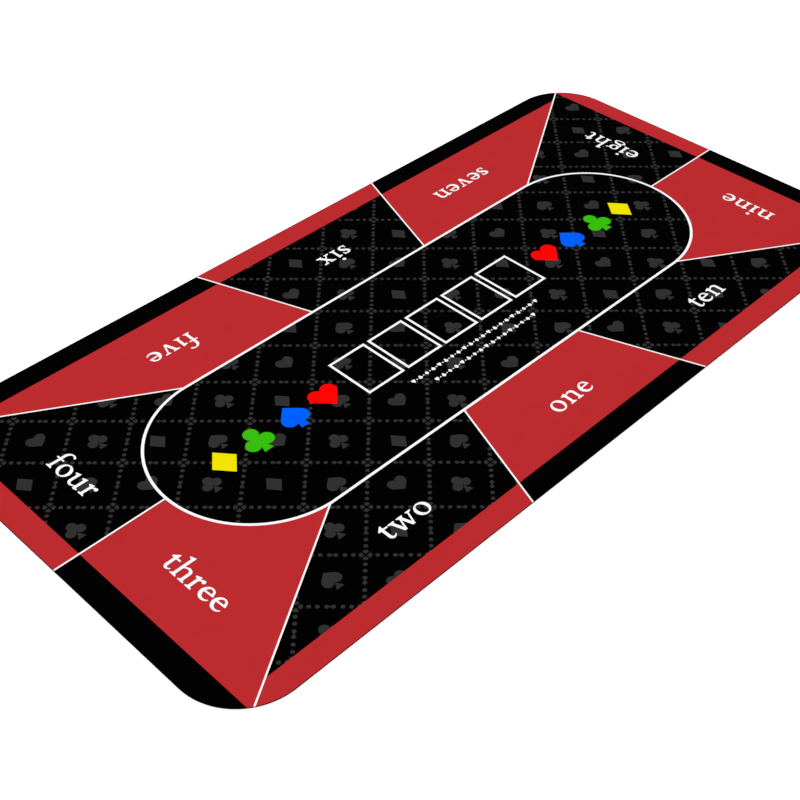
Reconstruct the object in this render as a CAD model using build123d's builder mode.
from build123d import *
import os

# Folding poker table top: three thin rigid panels that share one soft, printed playing face.
# The two outer panels (the wings) fold up and over, face to face, onto the middle panel.
# Frame: millimetres, X along the long side, Z up, origin on the table under the centre.

os.makedirs("parts", exist_ok=True)

# ---- Outline of the opened top ----
LENGTH = 1800.0        # long side, along X
WIDTH = 900.0          # short side, along Y
CORNER_R = 122.0

# ---- Layers, from the table upwards ----
PAD_T = 1.2            # rubber pads under the panels
BACKING_T = 0.3        # vinyl sheet on the underside
BOARD_T = 3.0          # foamed plastic board, the stiff layer
FOAM_T = 0.6           # soft underlay, and the hinge webbing laid in the same layer
CLOTH_T = 0.4          # printed cloth

BACKING_Z = PAD_T
BOARD_Z = BACKING_Z + BACKING_T
FOAM_Z = BOARD_Z + BOARD_T
CLOTH_Z = FOAM_Z + FOAM_T
TOP_Z = CLOTH_Z + CLOTH_T

# ---- Folds ----
FOLD_X = 451.0         # each fold line's distance from the centre; leaves the folded wings 4 mm apart
FOLD_GAP = 0.1         # each panel stops this short of its fold line
FOLD_RISE = 0.25       # the cloth's fold axis lies this far above the playing face
WEBBING_HALF = 30.0    # hinge webbing on each side of a fold line

# ---- Rim, backing and pads ----
EDGING_W = 1.2         # dark edging round the soft layers
BACKING_INSET = 2.0    # the vinyl stops short of every board edge
PAD_R = 15.0
PAD_CHAMFER = 0.3
PAD_Y = 370.0
WING_PAD_X = (501.0, 820.0)
MIDDLE_PAD_X = 401.0

SIDES = {"left": -1, "right": 1}


def export(piece, name):
    """Labels one finished piece and writes it as its own STEP file."""
    piece.part.label = name
    export_step(piece.part, f"parts/{name}.step")


def wing_sheet(side, bottom, thickness, edge_inset, fold_inset):
    """A flat layer of a wing: straight along its fold, rounded at its two outer corners."""
    inner, outer = FOLD_X + fold_inset, LENGTH / 2 - edge_inset
    with BuildPart() as sheet:
        with BuildSketch(Plane.XY.offset(bottom)):
            with Locations((side * (inner + outer) / 2, 0)):
                Rectangle(outer - inner, WIDTH - 2 * edge_inset)
            outer_corners = vertices().group_by(Axis.X)[-1 if side > 0 else 0]
            fillet(outer_corners, CORNER_R - edge_inset)
        extrude(amount=thickness)
    return sheet


def middle_sheet(bottom, thickness, edge_inset, fold_inset):
    """A flat layer of the middle panel, a plain rectangle between the two folds."""
    with BuildPart() as sheet:
        with BuildSketch(Plane.XY.offset(bottom)):
            Rectangle(2 * (FOLD_X - fold_inset), WIDTH - 2 * edge_inset)
        extrude(amount=thickness)
    return sheet


# ---- Boards: the stiff panels ----
for wing, side in SIDES.items():
    export(wing_sheet(side, BOARD_Z, BOARD_T, 0, FOLD_GAP), f"{wing}_board")
export(middle_sheet(BOARD_Z, BOARD_T, 0, FOLD_GAP), "middle_board")

# ---- Foam underlay: cut back at each fold to leave room for the webbing ----
for wing, side in SIDES.items():
    export(wing_sheet(side, FOAM_Z, FOAM_T, EDGING_W, WEBBING_HALF), f"{wing}_foam")
export(middle_sheet(FOAM_Z, FOAM_T, EDGING_W, WEBBING_HALF), "middle_foam")

# ---- Printed cloth: one sheet on the real top, parted here at the folds ----
for wing, side in SIDES.items():
    export(wing_sheet(side, CLOTH_Z, CLOTH_T, EDGING_W, FOLD_GAP), f"{wing}_cloth")
export(middle_sheet(CLOTH_Z, CLOTH_T, EDGING_W, FOLD_GAP), "middle_cloth")

# ---- Vinyl backing under each board ----
for wing, side in SIDES.items():
    backing = wing_sheet(side, BACKING_Z, BACKING_T, BACKING_INSET, BACKING_INSET)
    export(backing, f"{wing}_backing")
export(middle_sheet(BACKING_Z, BACKING_T, BACKING_INSET, BACKING_INSET), "middle_backing")

# ---- Hinge webbing: a woven band across each fold, glued to both boards ----
for fold, side in SIDES.items():
    for half, towards in {"wing": 1, "middle": -1}.items():
        near, far = FOLD_X + towards * FOLD_GAP, FOLD_X + towards * WEBBING_HALF
        with BuildPart() as webbing:
            with BuildSketch(Plane.XY.offset(FOAM_Z)):
                with Locations((side * (near + far) / 2, 0)):
                    Rectangle(abs(far - near), WIDTH - 2 * EDGING_W)
            extrude(amount=FOAM_T)
        export(webbing, f"{fold}_hinge_webbing_{half}")

# ---- Edging: a thin dark rim round the cloth and its underlay ----
for wing, side in SIDES.items():
    edging_height = FOAM_T + CLOTH_T
    soft_layers = wing_sheet(side, FOAM_Z, edging_height, EDGING_W, FOLD_GAP)
    with BuildPart() as edging:
        add(wing_sheet(side, FOAM_Z, edging_height, 0, FOLD_GAP).part)
        add(soft_layers.part, mode=Mode.SUBTRACT)
    export(edging, f"{wing}_edging")

for edge, towards in {"near": -1, "far": 1}.items():
    with BuildPart() as edging:
        with BuildSketch(Plane.XY.offset(FOAM_Z)):
            with Locations((0, towards * (WIDTH - EDGING_W) / 2)):
                Rectangle(2 * (FOLD_X - FOLD_GAP), EDGING_W)
        extrude(amount=FOAM_T + CLOTH_T)
    export(edging, f"middle_edging_{edge}")

# ---- Rubber pads: the only pieces that touch the table below ----
pad_places = {"middle_pad_centre": (0, 0)}
for edge, towards in {"near": -1, "far": 1}.items():
    for wing, side in SIDES.items():
        pad_places[f"middle_pad_{wing}_{edge}"] = (side * MIDDLE_PAD_X, towards * PAD_Y)
        for place, x in zip(("inner", "outer"), WING_PAD_X):
            pad_places[f"{wing}_pad_{place}_{edge}"] = (side * x, towards * PAD_Y)

for name, (x, y) in pad_places.items():
    with BuildPart() as pad:
        with BuildSketch():
            with Locations((x, y)):
                Circle(PAD_R)
        extrude(amount=PAD_T)
        chamfer(edges().group_by(Axis.Z)[0], PAD_CHAMFER)
    export(pad, name)

print(f"{LENGTH:.0f} x {WIDTH:.0f} x {TOP_Z:.1f} mm open, fold axes {FOLD_RISE} mm above the face")
